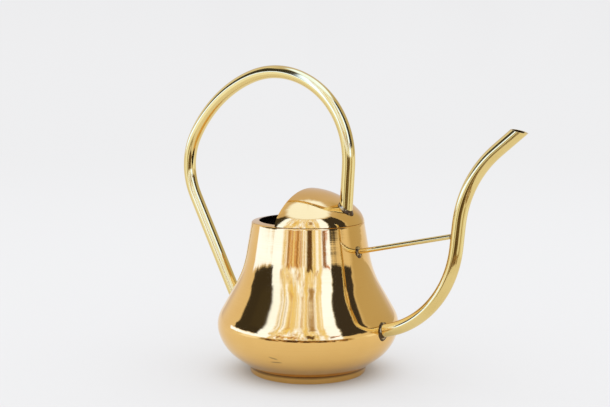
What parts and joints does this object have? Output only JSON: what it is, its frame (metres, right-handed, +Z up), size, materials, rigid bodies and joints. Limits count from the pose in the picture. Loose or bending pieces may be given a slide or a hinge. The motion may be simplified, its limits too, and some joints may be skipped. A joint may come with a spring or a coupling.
{
  "type": "watering can",
  "caption": "Small brass watering can for house plants: bell-shaped body with a half dome over the mouth, hoop handle and a braced swan-neck spout.",
  "frame": {"origin": "on the body's axis, in the plane that the foot ring stands on", "axes": "+Z up along the body's axis, +X towards the spout, the whole can symmetrical about the plane y = 0"},
  "size_m": [0.369, 0.1682, 0.2823],
  "materials": {
    "polished_brass": "spun and mirror polished, fine horizontal turning lines",
    "tube_brass": "drawn tube, polished lengthwise",
    "solder": "dull soft solder, darkened by flux"
  },
  "bodies": {
    "root": {"upper_body": "polished_brass", "lower_body": "polished_brass", "base_disc": "polished_brass", "foot_ring": "polished_brass", "dome_cover": "polished_brass", "handle_tube": "tube_brass", "spout_tube": "tube_brass", "brace_rod": "tube_brass", "base_solder": "solder", "foot_solder": "solder", "dome_solder": "solder", "handle_top_solder": "solder", "handle_foot_solder": "solder", "spout_root_solder": "solder", "brace_neck_solder": "solder", "brace_spout_solder": "solder"}
  },
  "joints": []
}
